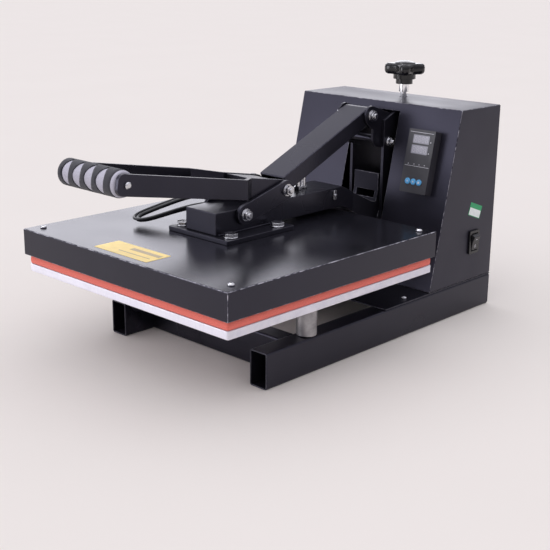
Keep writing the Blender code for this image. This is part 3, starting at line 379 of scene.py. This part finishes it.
# Rounding of the edges in millimetres, and the CAD nodes that have it.
FINISHES = {
    0.8: ["platen_cover", "housing_shell"],
    0.9: ["base_tube_left", "base_tube_right", "front_cross_member", "rear_platen_bridge", "lift_beam",
          "hinge_arm", "toggle_tube", "handle_bar_left", "handle_bar_right", "frame_plate_left",
          "frame_plate_right", "pressure_yoke", "link_plate_left", "link_plate_right"],
    0.6: ["floor_sheet", "lower_platen", "heating_plate", "mounting_plate", "handle_tie_plate", "rod_bridge",
          "rear_cover", "insulation_blanket", "controller_bezel", "controller_case", "switch_frame",
          "switch_rocker", "power_inlet", "pressure_knob", "pressure_nut"],
    0.35: ["mounting_bolt_left_front", "mounting_bolt_left_rear", "mounting_bolt_right_front",
           "mounting_bolt_right_rear", "stop_bolt_front", "stop_bolt_rear", "link_pivot_bolt",
           "toggle_bolt_left", "toggle_bolt_right", "handle_pivot_bolt", "yoke_pivot_bolt", "grip_bolt",
           "rod_collar", "pressure_rod", "lead_gland", "platen_hinge_shaft", "platen_post_left",
           "platen_post_right", "controller_button_left", "controller_button_middle",
           "controller_button_right", "yoke_spacer_bar", "toggle_axle"],
}
OWN_MATERIAL = {"platen_cover": "cover_paint", "platen_post_left": "cast_post",
                "platen_post_right": "cast_post", "lower_platen": "platen_aluminium",
                "heating_plate": "platen_aluminium", "switch_rocker": "rocker_plastic",
                "hinge_arm": "arm_paint_painted_shade"}
for edge_width, names in FINISHES.items():
    for node_name in names:
        refine(node_name, edge_width * MM, OWN_MATERIAL.get(node_name))
for node_name, node in frame["nodes"].items():
    if not node.hide_render:
        for material_slot in node.material_slots:
            material_slot.link = "OBJECT"
            material_slot.material = MATERIALS[SLOT_OF[node_name]]


# ---------------------------------------------------------------- foam grip

SLEEVE_WALL = 3.4 * MM
WINDOW_PLACES = [(-43.5 + 23.2 * index) * MM for index in range(4)]
WINDOW_HALF_WIDTH = 7.6 * MM
WINDOW_TILT = -12


def lens(centre, half_width, half_height, steps=14):
    """A pointed oval, as wide as given in the middle."""
    radius = (half_width ** 2 + half_height ** 2) / (2 * half_width)
    reach = math.asin(half_height / radius)
    points = []
    for side in (1, -1):
        for step in range(steps):
            angle = side * (-reach + 2 * reach * step / steps)
            points.append((centre + side * (radius * math.cos(angle) - radius + half_width),
                           radius * math.sin(angle)))
    return points


def cut_away(piece, cutter, touching=False):
    """Takes a cutter's shape out of a piece's mesh and removes the cutter."""
    cut = piece.modifiers.new("cut", "BOOLEAN")
    cut.object = cutter
    cut.operation = "DIFFERENCE"
    cut.solver = "EXACT"
    cut.use_self = touching
    bpy.context.view_layer.update()
    shape = bpy.data.meshes.new_from_object(piece.evaluated_get(bpy.context.evaluated_depsgraph_get()))
    piece.modifiers.clear()
    piece.data = shape
    bpy.data.objects.remove(cutter)


def foam_tube(name, place, outer, inner, start, end, crown, material):
    """A foam tube along local Z: its ends are rounded by the crown and its surface wavers a little."""
    bm = bmesh.new()
    stations, steps = 30, 56
    profile = []
    for step in range(stations + 1):
        along = start + (end - start) * step / stations
        edge = min(along - start, end - along) / (4 * MM)
        profile.append((along, outer - crown * (1 - math.sin(math.pi / 2 * min(1, edge)))))
    profile += [(end, inner), (start, inner)]
    rings = []
    for height, size in profile:
        ring = []
        for step in range(steps):
            angle = 2 * math.pi * step / steps
            reach = size + 0.10 * MM * noise.noise(Vector((height * 90, angle * 3, outer * 900)))
            point = Vector((reach * math.cos(angle), reach * math.sin(angle), height))
            ring.append(bm.verts.new(place @ point))
        rings.append(ring)
    skin(bm, rings + rings[:1])
    return object_from(name, bm, material)


def make_grip():
    """Dark foam sleeve with four pointed windows over a lighter foam layer."""
    low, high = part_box("grip_foam")
    core_low, core_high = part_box("grip_core")
    centre = (low + high) / 2
    radius = (high.z - low.z) / 2
    axis = Matrix.Translation(Vector((0, centre.y, centre.z)))
    along = axis @ Matrix.Rotation(math.pi / 2, 4, "Y")
    core = (core_high.z - core_low.z) / 2 + 0.3 * MM
    bar_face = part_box("handle_bar_left")[0].x + 6.2 * MM
    dark = foam_tube("grip_sleeve", along, radius, radius - SLEEVE_WALL, low.x, high.x - SLEEVE_WALL,
                     2.6 * MM, "grip_foam")
    light = foam_tube("grip_inner_foam", along, radius - 0.9 * MM, core, bar_face, high.x, 1.2 * MM,
                      "grip_light")
    across = axis @ Matrix.Rotation(math.radians(WINDOW_TILT), 4, "X") @ Matrix.Rotation(math.pi / 2, 4, "X")
    for index, middle in enumerate(WINDOW_PLACES):
        bm = bmesh.new()
        slab(bm, lens(middle, WINDOW_HALF_WIDTH, 0.985 * radius), 0, 40 * MM, across)
        cut_away(dark, object_from(f"grip_window_cutter_{index}", bm, "grip_foam", False))
    bm = bmesh.new()
    cap_radius = radius - 2.6 * MM
    turned(bm, [(low.x, cap_radius), (low.x + 1.4 * MM, cap_radius)], along, 40)
    end_cap = object_from("grip_end_cap", bm, "grip_foam")
    for piece in (dark, light, end_cap):
        settle(piece, "handle", ["grip_foam"] if piece is dark else ())


make_grip()


# ---------------------------------------------------------------- silicone pad

PAD_STEP, PAD_LAYERS = 5 * MM, 8
PAD_BULGE, PAD_WANDER, PAD_INSET = 0.9 * MM, 0.35 * MM, 0.7 * MM


def make_pad():
    """Sponge sheet squeezed between the platens: its edge bulges and wanders a little."""
    low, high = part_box("silicone_pad")
    width, depth = high.x - low.x, high.y - low.y
    centre = (low + high) / 2
    bm = bmesh.new()
    outline = round_rectangle(width, depth, 3 * MM, 4)
    dense = []
    for start, end in zip(outline, outline[1:] + outline[:1]):
        start, end = Vector(start), Vector(end)
        count = max(1, int((end - start).length / PAD_STEP))
        dense += [start.lerp(end, step / count) for step in range(count)]
    rings = []
    for layer in range(PAD_LAYERS + 1):
        share = layer / PAD_LAYERS
        z = low.z + (high.z - low.z) * share
        bulge = PAD_BULGE * math.sin(math.pi * share) ** 0.6
        ring = []
        for point in dense:
            wander = PAD_WANDER * noise.noise(Vector((point.x * 22, point.y * 22, 3.7)))
            grow = 1 + (bulge + wander - PAD_INSET) / max(abs(point.x), abs(point.y))
            ring.append(bm.verts.new((centre.x + point.x * grow, centre.y + point.y * grow, z)))
        rings.append(ring)
    skin_closed(bm, rings)
    pad = object_from("silicone_sponge_pad", bm, "silicone")
    pad.modifiers.new("even_normals", "WEIGHTED_NORMAL")
    settle(pad, "frame", ["silicone_pad"])


make_pad()


# ---------------------------------------------------------------- heater and sensor cables

# Machine millimetres: straight up out of the gland, then the loop and the way back to the housing.
LEAD_START = [(-78, 30, 178.1), (-78, 30, 182.5), (-78, 30, 187)]
LEAD_ROUTE = [(-78.8, 28.5, 193), (-81, 22.5, 198.6), (-85.5, 12, 201.4), (-91.5, -2, 199.8),
              (-100, -18, 195), (-110, -36, 188.5), (-119, -53, 182), (-121, -68, 178), (-111, -79.5, 176.6),
              (-97, -76.5, 178), (-87, -61, 182), (-78, -35, 187.5), (-67, -5, 192), (-56, 40, 190),
              (-49, 90, 182), (-44, 140, 178), (-42, 190, 175), (-40, 225, 170), (-39, 262, 162),
              (-39, 284, 157)]


GLAND_POINTS = 6  # route points that stay where the gland holds the cable
ROUTE_STEPS, EASE_ROUNDS = 6, 14


def smooth_route(points, steps):
    """A curve through every point."""
    ends = [points[0] * 2 - points[1], *points, points[-1] * 2 - points[-2]]
    smooth = []
    for a, b, c, d in zip(ends, ends[1:], ends[2:], ends[3:]):
        for step in range(steps):
            t = step / steps
            smooth.append(0.5 * (2 * b + (c - a) * t + (2 * a - 5 * b + 4 * c - d) * t * t
                                 + (3 * b - a - 3 * c + d) * t ** 3))
    return smooth + [points[-1]]


def ease(points, rounds):
    """Takes the sharp turns out of a route, as a cable's own stiffness does."""
    for _ in range(rounds):
        free = zip(points[GLAND_POINTS - 1:], points[GLAND_POINTS:], points[GLAND_POINTS + 1:])
        points = points[:GLAND_POINTS] + [(a + 2 * b + c) / 4 for a, b, c in free] + points[-1:]
    return points


def make_cord(name, points, diameter, replaced=()):
    """A round cable along a route, riding on the upper platen."""
    curve = bpy.data.curves.new(name, "CURVE")
    curve.dimensions = "3D"
    curve.bevel_depth = diameter / 2
    curve.bevel_resolution = 5
    curve.use_fill_caps = True
    spline = curve.splines.new("POLY")
    spline.points.add(len(points) - 1)
    for target, point in zip(spline.points, points):
        target.co = (*point, 1)
    spline.use_smooth = True
    curve.materials.append(MATERIALS["lead_jacket"])
    cord = bpy.data.objects.new(name, curve)
    bpy.context.scene.collection.objects.link(cord)
    settle(cord, "platen", replaced)


def beside(points, distance, start, twist):
    """A route that winds round another one: from a start in degrees, by a twist in degrees per metre."""
    route = []
    travelled = 0.0
    side = Vector((1, 0, 0))
    for index, point in enumerate(points):
        ahead = (points[min(index + 1, len(points) - 1)] - points[max(index - 1, 0)]).normalized()
        travelled += (point - points[max(index - 1, 0)]).length
        side = (side - ahead * side.dot(ahead)).normalized()
        angle = math.radians(start + twist * travelled)
        route.append(point + distance * (math.cos(angle) * side + math.sin(angle) * side.cross(ahead)))
    return route


lead_points = smooth_route([machine(*point) for point in LEAD_START + LEAD_ROUTE], ROUTE_STEPS)
lead_points = ease(lead_points, EASE_ROUNDS)
make_cord("heater_cable", lead_points, 6 * MM, ["heater_lead"])
make_cord("sensor_cable", beside(lead_points, 5.2 * MM, 210, 200), 4 * MM)


# ---------------------------------------------------------------- screws, clip and welds

# Height and radius of a pan head's rings, as shares of its radius.
PAN_HEAD = ((0, 1), (0.35, 1), (0.62, 0.86), (0.8, 0.55), (0.84, 0.25))


def pan_screw(name, origin, right, up, radius, body):
    """Cross-recessed pan head standing on a face."""
    place = frame_on(origin, right, up)
    bm = bmesh.new()
    turned(bm, [(height * radius, size * radius) for height, size in PAN_HEAD], place)
    head = object_from(name, bm, "zinc_steel")
    bm = bmesh.new()
    arm, slot = 0.52 * radius, 0.11 * radius
    for half_x, half_y, lift in ((arm, slot, 0), (slot, arm, 0.0001 * radius)):
        outline = [(-half_x, -half_y), (half_x, -half_y), (half_x, half_y), (-half_x, half_y)]
        slab(bm, outline, 0.52 * radius + lift, 1.2 * radius + lift, place)
    cut_away(head, object_from(f"{name}_cutter", bm, "zinc_steel", False), True)
    settle(head, body)


COVER_TOP = 168.5
SIDES = (("left", -1), ("right", 1))
floor_sheet_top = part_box("floor_sheet")[1].z / MM
for side_name, side in SIDES:
    for end_name, end in (("front", -1), ("rear", 1)):
        pan_screw(f"cover_screw_{side_name}_{end_name}", machine(188 * side, 183 * end, COVER_TOP),
                  (1, 0.3 * end, 0), (0, 1, 0), 4.4 * MM, "platen")
    pan_screw(f"floor_sheet_screw_{side_name}", machine(144.7 * side, 213.8, floor_sheet_top),
              (1, 0.5, 0), (0, 1, 0), 4.0 * MM, "frame")

clip_place = frame_on(machine(30, 182, 195.4), (0, 1, 0), (0, 0, 1))
clip = bmesh.new()
slab(clip, round_rectangle(7 * MM, 15 * MM, 2.4 * MM, 5), 0, 3.2 * MM, clip_place)
slab(clip, disc(2.6 * MM, 6), 3.2 * MM, 5.2 * MM, clip_place)
settle(round_edges(object_from("beam_side_clip", clip, "zinc_steel"), 0.5 * MM), "platen")

beam_side, plate_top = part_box("lift_beam")[1].x / MM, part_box("mounting_plate")[1].z / MM
for side_name, side in SIDES:
    x, z = side * (beam_side + 1.0), plate_top + 0.8
    bead(f"beam_weld_{side_name}", [machine(x, -56, z), machine(x, 58, z)], 1.8 * MM, "platen", side * 3.1)


# ---------------------------------------------------------------- labels

def label(name, place, size, body, material, corner, thickness):
    """A thin rounded plate, sized and rounded in millimetres, on a face."""
    bm = bmesh.new()
    slab(bm, round_rectangle(size[0] * MM, size[1] * MM, corner * MM), 0.02 * MM, thickness * MM, place)
    settle(object_from(name, bm, material, False), body)


def on_cover(x, y, z):
    return frame_on(machine(x, y, z), (1, 0, 0), (0, 1, 0))


LABEL_X, LABEL_Y = -8, -171.5
label("cover_label", on_cover(LABEL_X, LABEL_Y, COVER_TOP), (106, 41), "platen", "yellow_label", 1.5, 0.25)
for index, (x, y, size) in enumerate(((20, 7, (58, 8)), (14, -8, (62, 2)))):
    label(f"cover_label_bar_{index}", on_cover(LABEL_X + x, LABEL_Y + y, COVER_TOP + 0.25), size, "platen",
          "label_bar", 0.5, 0.12)

# The side sticker's corners: upper front, lower front, upper rear, and lower rear.
upper_front, lower_front, upper_rear, lower_rear = (
    machine(158, y, z) for y, z in ((357.6, 178.5), (351.3, 159.1), (389, 167.2), (382.5, 147.5)))
sticker_up = (upper_front - lower_front).normalized()
sticker_right = (upper_rear - upper_front).normalized()
sticker_middle = (upper_front + lower_rear) / 2
wide, tall = (upper_rear - upper_front).length / MM, (upper_front - lower_front).length / MM
label("side_sticker_green", frame_on(sticker_middle, sticker_right, sticker_up), (wide, tall), "frame",
      "green_label", 0.5, 0.2)
white_middle = sticker_middle - sticker_up * 3.4 * MM + Vector((0.2 * MM, 0, 0))
label("side_sticker_white", frame_on(white_middle, sticker_right, sticker_up), (wide - 2.4, tall * 0.56),
      "frame", "white_label", 0.3, 0.12)


# ---------------------------------------------------------------- controller face and switch marks

# Machine millimetres: the leaning front's Y and Z at its foot and its top, and the controller's place on it.
FRONT_LOW, FRONT_HIGH, HOUSING_LOW, HOUSING_HIGH = 259.3, 319.5, 52.6, 322.4
PANEL_X, PANEL_Z, BEZEL_DEPTH = 105, 239.9, 16
LEAN = math.atan2(FRONT_HIGH - FRONT_LOW, HOUSING_HIGH - HOUSING_LOW)
PANEL_Y = FRONT_LOW + (PANEL_Z - HOUSING_LOW) * math.tan(LEAN)
PANEL_UP = Vector((0, math.sin(LEAN), math.cos(LEAN)))
panel_face = frame_on(machine(PANEL_X, PANEL_Y, PANEL_Z), (1, 0, 0), PANEL_UP)


def panel_piece(name, material, low, high, shapes):
    """Rounded bars between two heights over the bezel, each from its width, height, centre and corner."""
    bm = bmesh.new()
    for width, height, centre, corner in shapes:
        outline = [(x * MM, y * MM) for x, y in round_rectangle(width, height, corner, 3, centre)]
        slab(bm, outline, (BEZEL_DEPTH + low) * MM, (BEZEL_DEPTH + high) * MM, panel_face)
    settle(object_from(name, bm, material, False), "frame")


WINDOWS = ((29.4, 12.6, (0.3, 33.3), 0.6), (29.6, 13.0, (-0.2, 17.7), 0.6))
DIGIT_PITCH, HALF_DIGIT, HALF_TALL, SEGMENT_BAR, SEGMENT_GAP = 6.6, 1.9, 3.9, 0.8, 1.0
panel_piece("display_windows", "window", 0.02, 0.22, WINDOWS)
segments = []
for _, _, (window_x, window_y), _ in WINDOWS:
    for digit in range(4):
        centre_x = window_x + (digit - 1.5) * DIGIT_PITCH
        for row in (-1, 0, 1):
            segments.append((2 * HALF_DIGIT - SEGMENT_GAP, SEGMENT_BAR,
                             (centre_x, window_y + row * HALF_TALL), 0.2))
        for side in (-1, 1):
            for row in (-1, 1):
                segments.append((SEGMENT_BAR, HALF_TALL - SEGMENT_GAP,
                                 (centre_x + side * HALF_DIGIT, window_y + row * HALF_TALL / 2), 0.2))
panel_piece("display_segments", "segment", 0.2, 0.3, segments)
marks = [(43.2, 0.5, (0, 43.6), 0.2), (44, 0.5, (0, -7.5), 0.2)]
marks += [(1.6, 1.2, (x, -4.6), 0.5) for x in (-16, -5.3, 4.1, 13.9)]
marks += [(1.7, 1.7, (18.2, 30.4), 0.8), (1.7, 1.7, (17.3, 13.6), 0.8)]
panel_piece("panel_markings", "marking", 0.02, 0.15, marks)

BUTTON_ROW, BUTTON_FACE = -31.1, BEZEL_DEPTH + 1.32
BUTTONS = {"left": (-11.6, ((-1.6, -0.9), (1.6, -0.9), (0, 1.6))),
           "middle": (-1.1, ((-1.6, 0.9), (0, -1.6), (1.6, 0.9))),
           "right": (9.4, ((-1.5, -1.5), (1.5, -1.5), (1.5, 1.5), (-1.5, 1.5)))}
for name, (x, corners) in BUTTONS.items():
    bm = bmesh.new()
    outline = [((x + a) * MM, (BUTTON_ROW + b) * MM) for a, b in corners]
    slab(bm, outline, BUTTON_FACE * MM, (BUTTON_FACE + 0.1) * MM, panel_face)
    settle(object_from(f"button_mark_{name}", bm, "marking", False), f"button_{name}")

ROCKER_PIN = (157, 369, 113.5)


def rocker_mark(name, out, height, lean, outline, material, thickness):
    """A printed mark on one half of the rocker, given out and up from the rocker's pin."""
    up = (math.sin(math.radians(lean)), 0, math.cos(math.radians(lean)))
    x, y, z = ROCKER_PIN
    bm = bmesh.new()
    slab(bm, outline, 0.02 * MM, thickness * MM, frame_on(machine(x + out, y, z + height), (0, 1, 0), up))
    settle(object_from(name, bm, material, False), "rocker")


rocker_mark("rocker_off_mark", 5.68, -6.5, 6.3, disc(2.3 * MM, 24), "marking", 0.10)
rocker_mark("rocker_off_mark_middle", 5.68, -6.5, 6.3, disc(1.6 * MM, 24), "rocker_plastic", 0.14)
rocker_mark("rocker_on_mark", 8.19, 4.5, 21.6, round_rectangle(4.6 * MM, 0.9 * MM, 0.2 * MM), "marking", 0.10)


INLET_CUP_DEPTH = 16.7 * MM


def make_inlet_pins():
    """Three contact blades on the floor of the power inlet's cup."""
    low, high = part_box("power_inlet")
    middle = (low + high) / 2
    place = frame_on((middle.x, high.y - INLET_CUP_DEPTH, middle.z), (-1, 0, 0), (0, 0, 1))
    bm = bmesh.new()
    for x, z in ((-7, -1.8), (0, 2.2), (7, -1.8)):
        slab(bm, [((x + a) * MM, (z + b) * MM) for a, b in ((-1, -2), (1, -2), (1, 2), (-1, 2))],
             0.05 * MM, 12 * MM, place)
    settle(object_from("inlet_pins", bm, "brass", False), "frame")


make_inlet_pins()


# ---------------------------------------------------------------- floor, light and camera

def make_floor():
    """Pale floor out to beyond the view."""
    bm = bmesh.new()
    rings = [[bm.verts.new((x, y, 0)) for x, y in disc(radius, 96)] for radius in (0.5, 1, 2, 4, 8, 16, 32)]
    skin(bm, rings[::-1])
    bm.faces.new(rings[0])
    made = Surface("pale_floor", 0.9)
    made.colour(made.ramp(made.noise(3, 3), 0.3, 0.7, (0.895, 0.845, 0.775), (0.905, 0.855, 0.785)))
    MATERIALS["floor"] = made.material
    floor = object_from("studio_floor", bm, "floor", False)
    floor.location.z = -0.3 * MM
    return floor


# The softboxes light everything but the floor, which the room alone lights.
NOT_FLOOR = bpy.data.collections.new("lit_by_softboxes")
NOT_FLOOR.objects.link(make_floor())
NOT_FLOOR.collection_objects[0].light_linking.link_state = "EXCLUDE"


def softbox(name, place, aim, size, radiance, colour):
    """A rectangular lamp of a given brightness per area that the camera doesn't see."""
    light = bpy.data.lights.new(name, "AREA")
    light.shape = "RECTANGLE"
    light.size, light.size_y = size
    light.energy = radiance * math.pi * size[0] * size[1]
    light.color = colour
    lamp = bpy.data.objects.new(name, light)
    bpy.context.scene.collection.objects.link(lamp)
    lamp.location = place
    lamp.rotation_mode = "QUATERNION"
    lamp.rotation_quaternion = (Vector(aim) - Vector(place)).to_track_quat("-Z", "Y")
    lamp.visible_camera = False
    lamp.light_linking.receiver_collection = NOT_FLOOR


softbox("rear_left_softbox", (-2.1, 1.35, 0.92), (0, 0, 0.17), (3.0, 0.95), 2.0, (0.95, 0.945, 1.0))
softbox("top_softbox", (-0.5, -0.5, 2.4), (0, 0, 0.1), (1.6, 1.6), 2.2, (0.97, 0.965, 1.0))
softbox("front_left_softbox", (-1.5, -2.3, 0.55), (0, 0, 0.25), (1.5, 1.1), 4.2, (0.94, 0.94, 1.0))


HORIZON_LIGHT, ZENITH_LIGHT = 0.28, 1.19
ROOM_TINT, SEEN_TINT = (0.93, 0.92, 1.0, 1), (0.863, 0.806, 0.806, 1)


def make_world():
    """Soft studio room: brighter overhead than at the horizon, and the floor's own tone behind the press."""
    world = bpy.data.worlds.new("studio_world")
    world.use_nodes = True
    nodes, links = world.node_tree.nodes, world.node_tree.links
    direction = nodes.new("ShaderNodeTexCoord").outputs["Generated"]
    split = nodes.new("ShaderNodeSeparateXYZ")
    links.new(direction, split.inputs[0])
    height = nodes.new("ShaderNodeMapRange")
    for socket, value in (("From Min", 0.0), ("From Max", 0.75), ("To Min", HORIZON_LIGHT),
                          ("To Max", ZENITH_LIGHT)):
        height.inputs[socket].default_value = value
    links.new(split.outputs["Z"], height.inputs["Value"])
    room = nodes["Background"]
    room.inputs["Color"].default_value = ROOM_TINT
    links.new(height.outputs["Result"], room.inputs["Strength"])
    seen = nodes.new("ShaderNodeBackground")
    seen.inputs["Color"].default_value = SEEN_TINT
    kind = nodes.new("ShaderNodeLightPath")
    either = nodes.new("ShaderNodeMixShader")
    links.new(kind.outputs["Is Camera Ray"], either.inputs[0])
    links.new(room.outputs[0], either.inputs[1])
    links.new(seen.outputs[0], either.inputs[2])
    links.new(either.outputs[0], nodes["World Output"].inputs["Surface"])
    bpy.context.scene.world = world


make_world()
bpy.context.scene.view_settings.view_transform = "Standard"


CAMERA_ANGLES = (42.506, 15.939, 0.960)  # azimuth, elevation and roll in degrees
CAMERA_PLACE = (1.0366, -0.9999 - MIDDLE, 0.5373)
LENS, SENSOR, SHIFT = 69.4, 36, (-0.0365, -0.0285)


def make_camera():
    """A camera at the photograph's viewing angle."""
    azimuth, elevation, roll = (math.radians(angle) for angle in CAMERA_ANGLES)
    look = Vector((-math.sin(azimuth) * math.cos(elevation), math.cos(azimuth) * math.cos(elevation),
                   -math.sin(elevation)))
    right = look.cross(Vector((0, 0, 1))).normalized()
    up = right.cross(look)
    rolled_right = math.cos(roll) * right + math.sin(roll) * up
    rolled_up = -math.sin(roll) * right + math.cos(roll) * up
    data = bpy.data.cameras.new("camera")
    data.lens = LENS
    data.sensor_width = SENSOR
    data.shift_x, data.shift_y = SHIFT
    camera = bpy.data.objects.new("camera", data)
    bpy.context.scene.collection.objects.link(camera)
    turn = Matrix((rolled_right, rolled_up, -look)).transposed()
    camera.matrix_world = Matrix.Translation(CAMERA_PLACE) @ turn.to_4x4()
    bpy.context.scene.camera = camera


make_camera()
